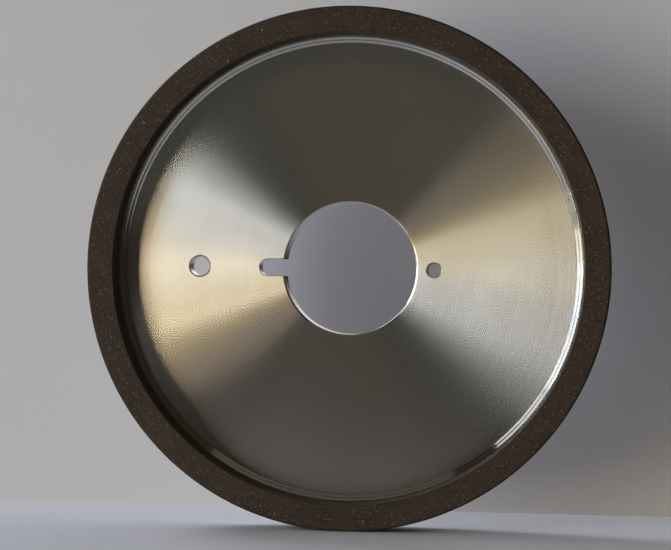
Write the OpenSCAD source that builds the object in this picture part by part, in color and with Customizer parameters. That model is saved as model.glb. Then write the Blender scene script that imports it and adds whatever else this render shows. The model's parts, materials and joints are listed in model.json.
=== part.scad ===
// Diamond grinding wheel for a tool and saw grinder: a straight-sided cup
// with a flat working face. A turned aluminium body carries a moulded ring
// in two layers, a plain bond layer keyed into the body and the
// diamond-bearing abrasive layer on top of it.
//
// The wheel's axis lies along Y. The origin is the centre of the bore in the
// back face, +Y leaves through the back, and the working face looks along -Y.

/* [Wheel] */
// Outer diameter of the wheel
wheel_d = 125; // [110:1:150]
// Thickness of the aluminium web
web_t = 7.8; // [6.5:0.1:12]
// Depth from the working face down to the web
recess_depth = 9.2; // [8:0.1:14]
// Chamfer around the back edge of the body
back_chamfer = 0.8; // [0.2:0.1:1.5]

/* [Abrasive ring] */
// Radial width of the ring
ring_w = 6.2; // [5:0.1:9]
// Depth of the diamond-bearing layer
abrasive_depth = 8; // [5:0.5:8]
// Depth of the ring's foot below the front of the web
seat_depth = 0.8; // [0.4:0.1:1.5]
// Chamfer on the outer edge of the working face
face_chamfer = 0.45; // [0.1:0.05:1]
// Chamfer on the inner edge of the working face
inner_chamfer = 0.15; // [0.05:0.05:0.5]

/* [Bond keying] */
// Number of keying grooves in the seat
key_count = 3; // [1:1:3]
// Distance between the middles of two keying grooves
key_pitch = 1.7; // [1.6:0.1:1.8]
// Width of a keying groove at the seat
key_w = 1; // [0.6:0.1:1.2]
// Depth of a keying groove
key_depth = 0.7; // [0.3:0.1:1]

/* [Turned fillet] */
// Distance from the foot of the ring's wall in to the start of the fillet
fillet_w = 1.9; // [1.5:0.1:3]
// Rise of the fillet from the web up to its ledge
fillet_rise = 1.1; // [0.3:0.1:1.2]
// Width of the level ledge next to the wall
ledge_w = 0.45; // [0.2:0.05:0.8]
// Width of the tool mark that parts the fillet in two
mark_w = 0.12; // [0.05:0.01:0.2]

/* [Bore and keyway] */
// Diameter of the bore
bore_d = 31.75; // [20:0.05:34]
// Chamfer at both ends of the bore
bore_chamfer = 0.4; // [0.1:0.1:1]
// Width of the keyway
keyway_w = 4.1; // [3:0.1:6]
// Distance from the wheel's axis to the round end of the keyway
keyway_reach = 22; // [22:0.5:26]

/* [Holes] */
// Diameter of the larger hole
pin_hole_d = 4.8; // [3:0.1:6]
// Distance of the larger hole from the wheel's axis
pin_hole_r = 36.5; // [32:0.5:45]
// Diameter of the smaller hole
small_hole_d = 3.3; // [2:0.1:4]
// Distance of the smaller hole from the wheel's axis
small_hole_r = 20.2; // [20.2:0.1:30]
// Chamfer at both ends of the two holes
hole_chamfer = 0.3; // [0.1:0.1:0.5]

/* [Hidden] */
$fn = 180;
// How far a cut runs past the surface that it opens
over = 1;
outer_r = wheel_d / 2;
inner_r = outer_r - ring_w;
wheel_t = web_t + recess_depth;
seat_z = web_t - seat_depth;
base_top_z = wheel_t - abrasive_depth;
ledge_z = web_t + fillet_rise;
// Radii across the turned fillet, from the web out to the ledge
fillet_in_r = inner_r - fillet_w;
ledge_in_r = inner_r - ledge_w;
mark_r = (fillet_in_r + ledge_in_r) / 2;
mark_z = web_t + fillet_rise / 2;
// The key's floor is this share of its width at the seat
key_floor_share = 0.5;
body_colour = "silver";
base_colour = [0.13, 0.12, 0.11];
abrasive_colour = [0.22, 0.18, 0.15];

// Middle radius of keying groove i
function key_r(i) = (inner_r + outer_r) / 2 + (i - (key_count - 1) / 2) * key_pitch;

// Stands the wheel up: local z runs from the back face to the working face
module stood_up() {
    rotate([90, 0, 0]) children();
}

// A hole along z through the web, centred at distance r in the direction
// given by turn, with the same chamfer at both ends
module web_hole(d, r, turn, chamfer) {
    rotate([0, 0, turn]) translate([r, 0, 0]) {
        translate([0, 0, -over]) cylinder(h = web_t + 2 * over, d = d);
        translate([0, 0, -over])
            cylinder(h = chamfer + over, d1 = d + 2 * (chamfer + over), d2 = d);
        translate([0, 0, web_t - chamfer])
            cylinder(h = chamfer + over, d1 = d, d2 = d + 2 * (chamfer + over));
    }
}

// A slot from the bore out to its round end, on the side of -x
module keyway() {
    end_x = keyway_reach - keyway_w / 2;
    translate([-end_x, 0, -over]) cylinder(h = web_t + 2 * over, d = keyway_w);
    translate([-end_x, -keyway_w / 2, -over]) cube([end_x, keyway_w, web_t + 2 * over]);
}

// Half section of one keying groove or rib, downwards from height z
module key_section(i, z) {
    floor_w = key_w * key_floor_share;
    polygon([
        [key_r(i) - key_w / 2, z],
        [key_r(i) - floor_w / 2, seat_z - key_depth],
        [key_r(i) + floor_w / 2, seat_z - key_depth],
        [key_r(i) + key_w / 2, z]
    ]);
}

// Half section of the turned body before the bore and the holes are cut
module body_section() {
    polygon([
        [0, 0],
        [outer_r - back_chamfer, 0],
        [outer_r, back_chamfer],
        [outer_r, seat_z],
        [inner_r, seat_z],
        [inner_r, ledge_z],
        [ledge_in_r, ledge_z],
        [mark_r + mark_w / 2, mark_z],
        [mark_r, mark_z - mark_w],
        [mark_r - mark_w / 2, mark_z],
        [fillet_in_r, web_t],
        [0, web_t]
    ]);
}

// The turned aluminium body
module wheel_body() {
    color(body_colour) stood_up() difference() {
        rotate_extrude() difference() {
            body_section();
            for (i = [0 : key_count - 1]) key_section(i, seat_z);
        }
        web_hole(bore_d, 0, 0, bore_chamfer);
        keyway();
        web_hole(pin_hole_d, pin_hole_r, 180, hole_chamfer);
        web_hole(small_hole_d, small_hole_r, 0, hole_chamfer);
    }
}

// The diamond-free bond layer, with ribs that fill the body's keying grooves
module base_layer() {
    color(base_colour) stood_up() rotate_extrude() {
        translate([inner_r, seat_z]) square([ring_w, base_top_z - seat_z]);
        for (i = [0 : key_count - 1]) key_section(i, seat_z);
    }
}

// The diamond-bearing layer, whose front is the working face
module abrasive_rim() {
    color(abrasive_colour) stood_up() rotate_extrude() polygon([
        [inner_r, base_top_z],
        [outer_r, base_top_z],
        [outer_r, wheel_t - face_chamfer],
        [outer_r - face_chamfer, wheel_t],
        [inner_r + inner_chamfer, wheel_t],
        [inner_r, wheel_t - inner_chamfer]
    ]);
}

wheel_body();
base_layer();
abrasive_rim();
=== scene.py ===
"""A diamond grinding wheel standing on its edge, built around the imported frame.

The wheel's axis is Y: the back face lies in y = 0 and the working face looks
along -Y. Depth is counted from the back face towards the working face.
"""
import json
import math

import bmesh
import bpy
import numpy as np
from mathutils import Matrix, Vector


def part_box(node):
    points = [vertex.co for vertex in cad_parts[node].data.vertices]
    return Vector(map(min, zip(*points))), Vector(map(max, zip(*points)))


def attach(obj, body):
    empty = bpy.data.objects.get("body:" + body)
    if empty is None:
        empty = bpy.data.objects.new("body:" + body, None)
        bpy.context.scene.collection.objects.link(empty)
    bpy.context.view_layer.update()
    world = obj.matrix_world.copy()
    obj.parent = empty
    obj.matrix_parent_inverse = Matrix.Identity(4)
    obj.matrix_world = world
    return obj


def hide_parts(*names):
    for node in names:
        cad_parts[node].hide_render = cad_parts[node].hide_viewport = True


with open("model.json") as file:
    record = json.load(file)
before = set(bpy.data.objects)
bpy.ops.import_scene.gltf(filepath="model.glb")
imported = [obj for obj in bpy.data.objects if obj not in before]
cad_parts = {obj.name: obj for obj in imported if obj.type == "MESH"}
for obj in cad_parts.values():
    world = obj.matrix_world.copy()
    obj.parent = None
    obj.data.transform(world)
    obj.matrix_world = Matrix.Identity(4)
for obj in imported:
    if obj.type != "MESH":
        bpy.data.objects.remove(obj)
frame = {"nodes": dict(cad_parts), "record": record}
bpy.context.view_layer.update()

MM = 0.001
MOUNTS = {m["name"]: m for m in frame["record"]["mounts"]}


def radii(node):
    """Smallest and largest distance of a CAD node's points from the wheel's axis."""
    points = np.array([v.co[:] for v in frame["nodes"][node].data.vertices])
    across = np.hypot(points[:, 0], points[:, 2])
    return float(across.min()), float(across.max())


# Sizes taken from the frame
RING_IN, RING_OUT = radii("abrasive_rim")
FACE = -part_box("abrasive_rim")[0].y
BOND_TOP = -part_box("abrasive_rim")[1].y
WEB = -MOUNTS["flange_seat"]["pos_m"][1]
LEDGE = -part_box("wheel_body")[0].y
KEY_FLOOR = -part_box("base_layer")[1].y
BORE_R = MOUNTS["bore"]["dims"]["r_mm"] * MM
BORE_CHAMFER = (WEB - MOUNTS["bore"]["dims"]["length_mm"] * MM) / 2
FLOOR_Z = -RING_OUT

# Sizes that the frame doesn't state, the same as in the design
SEAT_DEPTH = 0.8 * MM
BACK_CHAMFER = 0.8 * MM
FACE_CHAMFER = 0.45 * MM
INNER_CHAMFER = 0.15 * MM
FILLET_W = 1.9 * MM
LEDGE_W = 0.45 * MM
MARK_W = 0.12 * MM
KEY_COUNT, KEY_PITCH, KEY_W = 3, 1.7 * MM, 1.0 * MM
SLOT_W = 4.1 * MM
SLOT_REACH = 22 * MM
HOLE_CHAMFER = 0.3 * MM
SEAT = WEB - SEAT_DEPTH
FILLET_IN = RING_IN - FILLET_W
LEDGE_IN = RING_IN - LEDGE_W

# Finer sizes that the design leaves out: the keyway's broken edges, and the radius
# inside which the web is quite flat
SLOT_CHAMFER = 0.12 * MM
FLAT_R = 24 * MM


# ---------------------------------------------------------------- mesh helpers

def shaded(obj, angle=20):
    """Smooth shading, with edges over the angle in degrees kept sharp."""
    mesh = obj.data
    mesh.polygons.foreach_set("use_smooth", [True] * len(mesh.polygons))
    mesh.set_sharp_from_angle(angle=math.radians(angle))
    return obj


def mesh_object(name, verts, faces):
    mesh = bpy.data.meshes.new(name)
    mesh.from_pydata(verts, [], faces)
    mesh.validate()
    obj = bpy.data.objects.new(name, mesh)
    bpy.context.scene.collection.objects.link(obj)
    return obj


def outward(obj):
    """Turns every face outwards."""
    work = bmesh.new()
    work.from_mesh(obj.data)
    bmesh.ops.recalc_face_normals(work, faces=work.faces)
    work.to_mesh(obj.data)
    work.free()
    return obj


def rounded(corners, steps=4):
    """An outline from (radius, depth, round) corners, each replaced by an arc."""
    points = []
    for i, (r, d, size) in enumerate(corners):
        here = Vector((r, d))
        if size == 0:
            points.append(here)
            continue
        before = Vector(corners[i - 1][:2]) - here
        after = Vector(corners[(i + 1) % len(corners)][:2]) - here
        half = before.angle(after) / 2
        reach = min(size / math.tan(half), before.length * 0.45, after.length * 0.45)
        radius = reach * math.tan(half)
        centre = here + (before.normalized() + after.normalized()).normalized() * (
            radius / math.sin(half))
        start = here + before.normalized() * reach - centre
        end = here + after.normalized() * reach - centre
        sweep = start.angle_signed(end)
        for k in range(steps + 1):
            turned = start.copy()
            turned.rotate(Matrix.Rotation(-sweep * k / steps, 2))
            points.append(centre + turned)
    return points


def lathe(name, outline, segments):
    """Turns a closed outline of (radius, depth) points around the wheel's axis."""
    count = len(outline)
    verts, faces = [], []
    for i in range(segments):
        a = 2 * math.pi * i / segments
        verts += [(p[0] * math.cos(a), -p[1], p[0] * math.sin(a)) for p in outline]
    for i in range(segments):
        here, there = i * count, (i + 1) % segments * count
        for k in range(count):
            m = (k + 1) % count
            faces.append((here + k, here + m, there + m, there + k))
    return outward(mesh_object(name, verts, faces))


def through_cutter(name, outline, chamfer):
    """A solid that cuts outline(offset), a list of (x, z), through the web,
    widened by the chamfer at both faces."""
    past = 0.5 * MM
    levels = [(-past, chamfer + past), (chamfer, 0),
              (WEB - chamfer, 0), (WEB + past, chamfer + past)]
    rings = [[(x, -depth, z) for x, z in outline(offset)] for depth, offset in levels]
    count = len(rings[0])
    faces = [tuple(range(count)), tuple(range(3 * count, 4 * count))]
    for level in range(3):
        for k in range(count):
            m = (k + 1) % count
            low, high = level * count, (level + 1) * count
            faces.append((low + k, low + m, high + m, high + k))
    return outward(mesh_object(name, [v for ring in rings for v in ring], faces))


def round_hole(mount, steps=64):
    """Outline function of a round hole at a mount."""
    x0, z0 = mount["pos_m"][0], mount["pos_m"][2]
    r0 = mount["dims"]["r_mm"] * MM

    def outline(offset):
        turn = [2 * math.pi * k / steps for k in range(steps)]
        return [(x0 + (r0 + offset) * math.cos(a), z0 + (r0 + offset) * math.sin(a))
                for a in turn]
    return outline


def slot_outline(offset, steps=24):
    """The keyway: straight sides from inside the bore to a round end at -X."""
    half = SLOT_W / 2 + offset
    end_x = -(SLOT_REACH - SLOT_W / 2)
    turn = [math.pi / 2 + math.pi * k / steps for k in range(steps + 1)]
    arc = [(end_x + half * math.cos(a), half * math.sin(a)) for a in turn]
    return [(-BORE_R * 0.6, half)] + arc + [(-BORE_R * 0.6, -half)]


def cut(obj, cutters):
    """Cuts the cutters out of obj, applies the cuts and removes the cutters."""
    for cutter in cutters:
        change = obj.modifiers.new("cut", "BOOLEAN")
        change.operation = "DIFFERENCE"
        change.solver = "EXACT"
        change.object = cutter
    bpy.context.view_layer.update()
    view = bpy.context.evaluated_depsgraph_get()
    done = bpy.data.meshes.new_from_object(obj.evaluated_get(view))
    obj.modifiers.clear()
    obj.data = done
    for cutter in cutters:
        bpy.data.objects.remove(cutter)
    return obj


# ------------------------------------------------------------ the wheel's pieces

def key_corners(top):
    """Corners of the keying grooves, from the outermost one inwards."""
    middle = (RING_IN + RING_OUT) / 2
    corners = []
    for i in reversed(range(KEY_COUNT)):
        r = middle + (i - (KEY_COUNT - 1) / 2) * KEY_PITCH
        corners += [(r + KEY_W / 2, top, 0), (r + KEY_W / 4, KEY_FLOOR, 0),
                    (r - KEY_W / 4, KEY_FLOOR, 0), (r - KEY_W / 2, top, 0)]
    return corners


def turned_mark(r, depth):
    """Corners of a fine V groove that the tool leaves where it changes direction."""
    return [(r + MARK_W / 2, depth, 0.03 * MM), (r, depth - MARK_W, 0),
            (r - MARK_W / 2, depth, 0.03 * MM)]


def make_body():
    """The turned aluminium disc with its bore, keyway and holes."""
    fine = 0.08 * MM
    broken = 0.2 * MM
    # The bore's chamfers are flatter than 45 degrees
    shallow = 0.6 * BORE_CHAMFER
    # Points beside the roundings, so that their shading doesn't spread over the flats
    inner_hold = BORE_R + BORE_CHAMFER + 0.3 * MM
    outer_hold = FILLET_IN - 0.3 * MM
    back_hold = RING_OUT - BACK_CHAMFER - 0.3 * MM
    mark = (FILLET_IN + LEDGE_IN) / 2
    mark_top = (WEB + LEDGE) / 2
    corners = [
        (BORE_R, 2 * shallow, 0), (BORE_R, shallow, broken), (BORE_R + BORE_CHAMFER, 0, broken),
        (inner_hold, 0, 0), (back_hold, 0, 0),
        (RING_OUT - BACK_CHAMFER, 0, fine), (RING_OUT, BACK_CHAMFER, fine),
        (RING_OUT, 1.5 * BACK_CHAMFER, 0),
        (RING_OUT, SEAT, 0), *key_corners(SEAT), (RING_IN, SEAT, 0),
        (RING_IN, LEDGE, 0), *turned_mark(LEDGE_IN, LEDGE),
        *turned_mark(mark, mark_top), *turned_mark(FILLET_IN, WEB),
        (outer_hold, WEB, 0), (inner_hold, WEB, 0),
        (BORE_R + BORE_CHAMFER, WEB, broken), (BORE_R, WEB - shallow, broken),
        (BORE_R, WEB - 2 * shallow, 0),
    ]
    body = lathe("turned_body", rounded(corners), 720)
    cutters = [
        through_cutter("cut_pin_hole", round_hole(MOUNTS["pin_hole"]), HOLE_CHAMFER),
        through_cutter("cut_small_hole", round_hole(MOUNTS["small_hole"]), HOLE_CHAMFER),
        through_cutter("cut_slot", slot_outline, SLOT_CHAMFER),
    ]
    return shaded(cut(body, cutters))


def make_base_bond():
    """The plain bond layer between the body and the abrasive."""
    corners = [(RING_IN, BOND_TOP, 0), (RING_OUT, BOND_TOP, 0), (RING_OUT, SEAT, 0),
               *key_corners(SEAT), (RING_IN, SEAT, 0)]
    return shaded(lathe("base_bond", rounded(corners), 720))


def make_abrasive():
    """The diamond-bearing ring, with a close grid of points on its face."""
    columns = 24
    step = (RING_OUT - FACE_CHAMFER - RING_IN - INNER_CHAMFER) / columns
    face = [(RING_IN + INNER_CHAMFER + k * step, FACE, 0) for k in range(1, columns)]
    corners = [
        (RING_IN, BOND_TOP, 0), (RING_IN, FACE - INNER_CHAMFER, 0.05 * MM),
        (RING_IN + INNER_CHAMFER, FACE, 0.05 * MM), *face,
        (RING_OUT - FACE_CHAMFER, FACE, 0.08 * MM),
        (RING_OUT, FACE - FACE_CHAMFER, 0.08 * MM), (RING_OUT, BOND_TOP, 0),
    ]
    return shaded(lathe("abrasive_ring", rounded(corners), 1440), 25)


def make_grit():
    """Diamond crystals, half sunk in the working face and the ring's two walls."""
    rng = np.random.default_rng(7)
    # A cuboctahedron, the blocky shape that synthetic diamond grows in
    base = np.array([(x, y, 0) for x in (-1, 1) for y in (-1, 1)]
                    + [(x, 0, z) for x in (-1, 1) for z in (-1, 1)]
                    + [(0, y, z) for y in (-1, 1) for z in (-1, 1)], float)
    hull = bmesh.new()
    for p in base:
        hull.verts.new(p)
    bmesh.ops.convex_hull(hull, input=hull.verts)
    bmesh.ops.dissolve_limit(hull, angle_limit=0.01, verts=hull.verts, edges=hull.edges)
    hull.verts.index_update()
    base = np.array([v.co[:] for v in hull.verts]) / math.sqrt(2)
    base_faces = [[v.index for v in f.verts] for f in hull.faces]
    hull.free()

    def placed(count, spot):
        """Random centres: spot(count) gives a radius and a depth for each."""
        turn = rng.uniform(0, 2 * math.pi, count)
        r, d = spot(count)
        return np.c_[r * np.cos(turn), -d, r * np.sin(turn)]

    def depths(n):
        return rng.uniform(BOND_TOP + 0.1 * MM, FACE - 0.5 * MM, n)

    width = RING_OUT - RING_IN
    sunk = 0.03 * MM
    on_face = placed(5200, lambda n: (
        RING_IN + 0.1 * MM + (width - 0.65 * MM) * rng.beta(1.5, 1.15, n),
        np.full(n, FACE) - rng.uniform(0, sunk, n)))
    on_rim = placed(2600, lambda n: (
        RING_OUT - rng.uniform(0, sunk, n), depths(n)))
    on_wall = placed(1000, lambda n: (
        RING_IN + rng.uniform(0, sunk, n), depths(n)))
    centres = np.concatenate([on_face, on_rim, on_wall])
    count = len(centres)
    size = rng.lognormal(math.log(0.06 * MM), 0.28, count).clip(0.03 * MM, 0.13 * MM)
    stretch = rng.uniform(0.75, 1.25, (count, 3))
    quat = rng.normal(size=(count, 4))
    quat /= np.linalg.norm(quat, axis=1)[:, None]
    w, x, y, z = quat.T
    turn = np.stack([
        1 - 2 * (y * y + z * z), 2 * (x * y - z * w), 2 * (x * z + y * w),
        2 * (x * y + z * w), 1 - 2 * (x * x + z * z), 2 * (y * z - x * w),
        2 * (x * z - y * w), 2 * (y * z + x * w), 1 - 2 * (x * x + y * y),
    ], 1).reshape(-1, 3, 3)
    shape = base[None] * (size[:, None] * stretch)[:, None]
    verts = np.einsum("nij,nkj->nki", turn, shape) + centres[:, None]
    step = len(base)
    faces = [[n * step + k for k in f] for n in range(count) for f in base_faces]
    grit = mesh_object("diamond_grit", verts.reshape(-1, 3).tolist(), faces)
    tone = np.repeat(rng.uniform(0, 1, count), step).astype(np.float32)
    grit.data.attributes.new("tone", "FLOAT", "POINT").data.foreach_set("value", tone)
    return grit


# ------------------------------------------------------------------- materials

class Nodes:
    """A material's node tree, with short calls for what the materials share."""

    def __init__(self, name):
        self.material = bpy.data.materials.new(name)
        self.material.use_nodes = True
        self.tree = self.material.node_tree
        self.tree.nodes.clear()
        self.coord = self.add("ShaderNodeTexCoord").outputs["Object"]

    def add(self, kind, inputs=None, **settings):
        node = self.tree.nodes.new(kind)
        for key, value in settings.items():
            setattr(node, key, value)
        for key, value in (inputs or {}).items():
            if isinstance(value, bpy.types.NodeSocket):
                self.tree.links.new(value, node.inputs[key])
            else:
                node.inputs[key].default_value = value
        return node

    def math(self, operation, a, b=0.0, c=0.0):
        return self.add("ShaderNodeMath", {0: a, 1: b, 2: c}, operation=operation).outputs[0]

    def vector(self, operation, a, b, output="Vector"):
        return self.add("ShaderNodeVectorMath", {0: a, 1: b}, operation=operation).outputs[output]

    def noise(self, scale, detail=2.0, rough=0.5, w=None):
        """Noise over the object's coordinates, or along the one value w."""
        inputs = {"Scale": scale, "Detail": detail, "Roughness": rough}
        if w is not None:
            return self.add("ShaderNodeTexNoise", {**inputs, "W": w},
                            noise_dimensions="1D").outputs["Fac"]
        return self.add("ShaderNodeTexNoise", {**inputs, "Vector": self.coord}).outputs["Fac"]

    def remap(self, value, low, high, to_low=0.0, to_high=1.0):
        return self.add("ShaderNodeMapRange", {
            "Value": value, "From Min": low, "From Max": high,
            "To Min": to_low, "To Max": to_high}).outputs["Result"]

    def ramp(self, value, *stops):
        node = self.add("ShaderNodeValToRGB", {"Fac": value})
        points = node.color_ramp.elements
        while len(points) < len(stops):
            points.new(0.5)
        for point, (place, colour) in zip(points, stops):
            point.position = place
            point.color = (*colour, 1)
        return node.outputs["Color"]

    def mix(self, share, a, b):
        node = self.add("ShaderNodeMix", data_type="RGBA", blend_type="MIX")
        for key, value in ((0, share), (6, a), (7, b)):
            if isinstance(value, bpy.types.NodeSocket):
                self.tree.links.new(value, node.inputs[key])
            else:
                node.inputs[key].default_value = (*value, 1) if key else value
        return node.outputs[2]

    def bump(self, height, distance, normal=None):
        inputs = {"Height": height, "Distance": distance, "Strength": 1.0}
        if normal is not None:
            inputs["Normal"] = normal
        return self.add("ShaderNodeBump", inputs).outputs["Normal"]

    def finish(self, **inputs):
        """Ends the tree in one Principled shader."""
        named = {key.replace("_", " "): value for key, value in inputs.items()}
        shader = self.add("ShaderNodeBsdfPrincipled", named)
        self.add("ShaderNodeOutputMaterial", {"Surface": shader.outputs[0]})
        return self.material


def turned_aluminium():
    """Aluminium with the fine circular grooves of a lathe tool. Past FLAT_R the web is
    shaded as if it were a hair hollow, and the fillet and chamfers are brighter."""
    n = Nodes("turned_aluminium")
    across = n.vector("LENGTH", n.vector("MULTIPLY", n.coord, (1, 0, 1)), (0, 0, 0), "Value")
    along = n.add("ShaderNodeSeparateXYZ", {0: n.coord}).outputs["Y"]
    groove = n.math("ADD", across, n.math("MULTIPLY", along, 0.93))
    radial = n.vector("MULTIPLY", n.coord, (1, 0, 1))
    front = n.math("LESS_THAN", along, 0.2 * MM - WEB)
    fillet = n.math("MULTIPLY", front, n.math("GREATER_THAN", across, FILLET_IN - 0.08 * MM))
    edges = n.math("MAXIMUM", fillet, n.math("LESS_THAN", across, BORE_R + BORE_CHAMFER))
    passes = n.noise(620, 1, 0.5, w=groove)
    streak = n.noise(800, 2, 0.5, w=groove)
    smudge = n.noise(38, 4, 0.6)
    past = n.math("MAXIMUM", n.math("SUBTRACT", across, FLAT_R), 0.0)
    dish = n.math("MULTIPLY", n.math("MULTIPLY", past, past), 0.1)
    normal = n.bump(passes, 0.000002, n.bump(dish, 1.0))
    turned = n.math("ADD", n.remap(smudge, 0.35, 0.7, 0.238, 0.252),
                    n.remap(streak, 0.3, 0.7, -0.007, 0.007))
    rough = n.remap(edges, 0, 1, turned, 0.13)
    warm = n.mix(n.remap(smudge, 0.3, 0.7), (0.80, 0.775, 0.735), (0.83, 0.82, 0.80))
    colour = n.mix(n.remap(streak, 0.25, 0.75, 0.0, 0.12), warm, (0.62, 0.60, 0.57))
    return n.finish(Base_Color=colour, Metallic=1.0, Roughness=rough, Anisotropic=1.0,
                    Tangent=radial, Normal=normal)


def resin(name, dark, light, rough):
    """Moulded resin bond with a fine mineral grain."""
    n = Nodes(name)
    grain = n.noise(5200, 3, 0.65)
    cloud = n.noise(130, 4, 0.6)
    mid = n.noise(1300, 3, 0.6)
    colour = n.mix(n.remap(cloud, 0.3, 0.7), dark, light)
    colour = n.mix(n.remap(mid, 0.42, 0.75, 0.0, 0.5), colour,
                   tuple(min(1.0, 1.9 * c) for c in light))
    height = n.math("MULTIPLY_ADD", grain, 0.5, mid)
    return n, colour, n.bump(height, 0.00004), n.remap(grain, 0.2, 0.8, rough - 0.07, rough + 0.07)


def plain_bond():
    n, colour, normal, rough = resin("plain_bond", (0.012, 0.011, 0.011), (0.022, 0.019, 0.017), 0.6)
    return n.finish(Base_Color=colour, Roughness=rough, Normal=normal)


def diamond_bond():
    """Resin bond filled with grit: dark brown with fine pale and rusty flecks."""
    dark, light = (0.020, 0.0117, 0.0063), (0.034, 0.0211, 0.0124)
    n, colour, normal, rough = resin("diamond_bond", dark, light, 0.72)
    cells = n.add("ShaderNodeTexVoronoi", {"Vector": n.coord, "Scale": 2600.0})
    pick = n.add("ShaderNodeSeparateColor", {0: cells.outputs["Color"]}).outputs[0]
    dot = n.math("LESS_THAN", cells.outputs["Distance"], 0.34)
    chosen = n.math("MULTIPLY", dot, n.math("GREATER_THAN", pick, 0.9))
    fleck = n.ramp(pick, (0.9, (0.20, 0.085, 0.035)), (0.95, (0.24, 0.17, 0.10)),
                   (1.0, (0.34, 0.31, 0.27)))
    colour = n.mix(n.math("MULTIPLY", chosen, 0.5), colour, fleck)
    return n.finish(Base_Color=colour, Roughness=rough, Normal=normal, Specular_IOR_Level=0.3)


def diamond():
    """Synthetic diamond grit, from amber to straw and near white."""
    n = Nodes("diamond")
    tone = n.add("ShaderNodeAttribute", attribute_name="tone").outputs["Fac"]
    colour = n.ramp(tone, (0.0, (0.030, 0.022, 0.016)), (0.55, (0.05, 0.035, 0.022)),
                    (0.8, (0.20, 0.085, 0.028)), (0.92, (0.30, 0.20, 0.09)),
                    (1.0, (0.5, 0.46, 0.38)))
    rough = n.remap(n.noise(9000, 2), 0.3, 0.7, 0.12, 0.3)
    return n.finish(Base_Color=colour, Roughness=rough, IOR=2.4)


# ----------------------------------------------------------------------- stage

WALL_Y = 0.045
WINDOW_X = 1.5
# The window's panes, as pane() takes them: low, high, near, far, colour, radiance.
# Colour and radiance are the rounded results of a least-squares fit, not a free choice.
PANES = [
    (-40, -25, 0.53, 0.9, (1.0, 0.80, 0.62), 2.6),
    (-25, -18, 0.53, 0.78, (1.0, 0.75, 0.37), 4.4),
    (-18, -14, 0.53, 0.78, (1.0, 0.82, 0.50), 13.5),
    (-14, -9, 0.53, 0.78, (1.0, 0.77, 0.40), 6.7),
    (-9, -2, 0.53, 0.78, (1.0, 0.80, 0.52), 9.6),
    (-2, 5, 0.53, 0.78, (1.0, 0.80, 0.56), 13.2),
    (5, 12, 0.53, 0.78, (1.0, 0.78, 0.49), 6.9),
    (12, 20, 0.53, 0.78, (1.0, 0.82, 0.56), 5.8),
    (20, 27, 0.53, 0.78, (1.0, 0.94, 0.80), 7.0),
    (27, 33, 0.53, 0.78, (0.95, 1.0, 0.90), 4.6),
    (-18, -8, 0.78, 1.2, (1.0, 0.98, 0.80), 9.2),
    (-8, 8, 0.78, 1.2, (0.84, 1.0, 0.94), 7.2),
    (8, 26, 0.78, 1.2, (0.67, 0.83, 1.0), 12.2),
    (26, 38, 0.78, 1.2, (0.72, 0.84, 1.0), 3.2),
    (-2, 12, 1.2, 2.5, (0.41, 0.57, 1.0), 4.0),
    (12, 28, 1.2, 2.5, (1.0, 0.76, 0.68), 2.7),
    (-10, 10, 2.5, 12, (1.0, 0.98, 0.83), 1.25),
    (10, 30, 2.5, 12, (0.75, 0.90, 1.0), 1.0),
    (30, 46, 2.5, 12, (0.95, 0.98, 1.0), 1.1),
]


def camera():
    """The photograph's angle: nearly along the axis, a little to the right."""
    data = bpy.data.cameras.new("camera")
    data.sensor_width = 36
    data.lens = 137.6
    data.clip_start = 0.01
    eye = bpy.data.objects.new("camera", data)
    bpy.context.scene.collection.objects.link(eye)
    eye.location = (46.4 * MM, -FACE - 607.2 * MM, -3.5 * MM)
    aim = Vector((-0.0807, 0.9967, 0.0031))
    roll = Matrix.Rotation(math.radians(1.1), 4, "Z")
    eye.rotation_euler = (aim.to_track_quat("-Z", "Y").to_matrix().to_4x4() @ roll).to_euler()
    bpy.context.scene.camera = eye


def softbox(name, centre, facing, size, colour, radiance):
    """An area light of that width, height and brightness, hidden from the camera."""
    data = bpy.data.lights.new(name, "AREA")
    data.shape = "RECTANGLE"
    data.size, data.size_y = size
    data.color = colour
    data.energy = radiance * math.pi * size[0] * size[1]
    lamp = bpy.data.objects.new(name, data)
    bpy.context.scene.collection.objects.link(lamp)
    lamp.location = centre
    lamp.rotation_euler = Vector(facing).to_track_quat("-Z", "Y").to_euler()
    lamp.visible_camera = False


def paper(name, profile, half_width, colour):
    """A sheet of stage paper: a (y, z) profile drawn out along X, faintly mottled."""
    verts = [(x, y, z) for x in (-half_width, half_width) for y, z in profile]
    count = len(profile)
    faces = [(k, k + 1, count + k + 1, count + k) for k in range(count - 1)]
    obj = shaded(mesh_object(name, verts, faces), 60)
    n = Nodes(name)
    tint = n.mix(n.remap(n.noise(4), 0.3, 0.7), colour, tuple(0.94 * c for c in colour))
    obj.data.materials.append(n.finish(Base_Color=tint, Roughness=0.9, Specular_IOR_Level=0.1))
    return obj, n


def one_sided(n):
    """Leaves a sheet out for rays that come from behind it."""
    shader = next(x for x in n.tree.nodes if x.type == "BSDF_PRINCIPLED")
    clear = n.add("ShaderNodeBsdfTransparent")
    side = n.add("ShaderNodeNewGeometry").outputs["Backfacing"]
    mixed = n.add("ShaderNodeMixShader", {0: side, 1: clear.outputs[0], 2: shader.outputs[0]})
    end = next(x for x in n.tree.nodes if x.type == "OUTPUT_MATERIAL")
    n.tree.links.new(mixed.outputs[0], end.inputs["Surface"])


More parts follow.
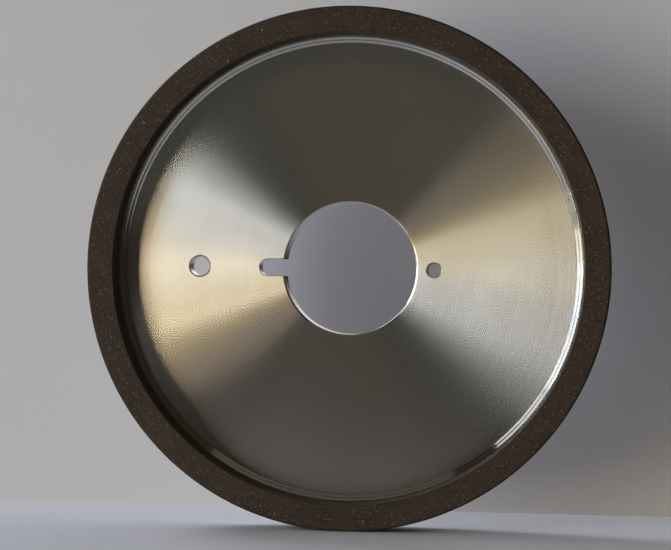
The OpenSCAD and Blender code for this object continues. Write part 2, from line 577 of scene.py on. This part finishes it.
def pane(name, low, high, near, far, colour, radiance):
    """A pane of the window, a wall of light in the plane x = -WINDOW_X: from angle low to
    angle high above the wheel's axis, in degrees, and from near to far off the axis, as
    the slope of the light that reaches the wheel."""
    z_low, z_high = (WINDOW_X * math.tan(math.radians(a)) for a in (low, high))
    y_near, y_far = -WINDOW_X / near, -WINDOW_X / far
    softbox(name, (-WINDOW_X, (y_near + y_far) / 2, (z_low + z_high) / 2), (1, 0, 0),
            (y_far - y_near, z_high - z_low), colour, radiance)


def room():
    """A dim room, seen as a pale wall past the paper's edges."""
    world = bpy.data.worlds.new("room")
    world.use_nodes = True
    tree = world.node_tree
    dim = tree.nodes["Background"]
    dim.inputs["Color"].default_value = (1.0, 0.72, 0.5, 1)
    dim.inputs["Strength"].default_value = 0.02
    pale = tree.nodes.new("ShaderNodeBackground")
    pale.inputs["Color"].default_value = (0.36, 0.37, 0.39, 1)
    seen = tree.nodes.new("ShaderNodeLightPath").outputs["Is Camera Ray"]
    both = tree.nodes.new("ShaderNodeMixShader")
    for place, socket in ((0, seen), (1, dim.outputs[0]), (2, pale.outputs[0])):
        tree.links.new(socket, both.inputs[place])
    tree.links.new(both.outputs[0], tree.nodes["World Output"].inputs["Surface"])
    bpy.context.scene.world = world


def studio():
    """A pale floor and backdrop, a window in panes at the left, and dim lamps around. The
    last two lamps light the back, and the backdrop lets their light through."""
    pale = (0.58, 0.575, 0.59)
    white = (0.80, 0.81, 0.86)
    far = 0.9
    near = -0.085
    front, _ = paper("floor_front", [(-far, FLOOR_Z), (near, FLOOR_Z)], far, white)
    front.visible_glossy = False
    front.visible_shadow = False
    floor, _ = paper("floor", [(near, FLOOR_Z), (far, FLOOR_Z)], far, white)
    floor.visible_shadow = False
    wall, nodes = paper("backdrop", [(WALL_Y, FLOOR_Z), (WALL_Y, 1.2)], far, pale)
    one_sided(nodes)
    wall.visible_glossy = False
    wall.visible_shadow = False
    for i, row in enumerate(PANES):
        pane(f"pane_{i}", *row)
    softbox("ceiling", (0, -0.6, 1.6), (0, 0, -1), (2.0, 1.6), (1.0, 0.95, 0.85), 0.06)
    softbox("ceiling_front", (0, -2.2, 1.6), (0, 0, -1), (2.0, 1.4), (1.0, 0.71, 0.25), 0.26)
    softbox("table", (-0.15, -0.9, -0.058), (0, 0, 1), (0.8, 0.8), (0.9, 1, 0.87), 0.3)
    softbox("ceiling_back", (-0.8, 0.6, 0.9), (0.8, -0.6, -0.9), (0.6, 0.6), (0.85, 0.89, 1), 5.0)
    softbox("behind", (0.5, 1.8, 0.7), (-0.25, -1, -0.35), (1.6, 1.0), (1, 0.98, 0.95), 1.2)
    room()
    bpy.context.scene.view_settings.view_transform = "Standard"


# ---------------------------------------------------------------- put together

body = make_body()
base_bond = make_base_bond()
abrasive = make_abrasive()
grit = make_grit()
for piece, material in ((body, turned_aluminium()), (base_bond, plain_bond()),
                        (abrasive, diamond_bond()), (grit, diamond())):
    piece.data.materials.append(material)
    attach(piece, "root")
for piece, node, slot in ((body, "wheel_body", "body_aluminium"),
                          (base_bond, "base_layer", "plain_bond"),
                          (abrasive, "abrasive_rim", "diamond_bond")):
    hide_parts(node)

camera()
studio()

bpy.context.view_layer.update()
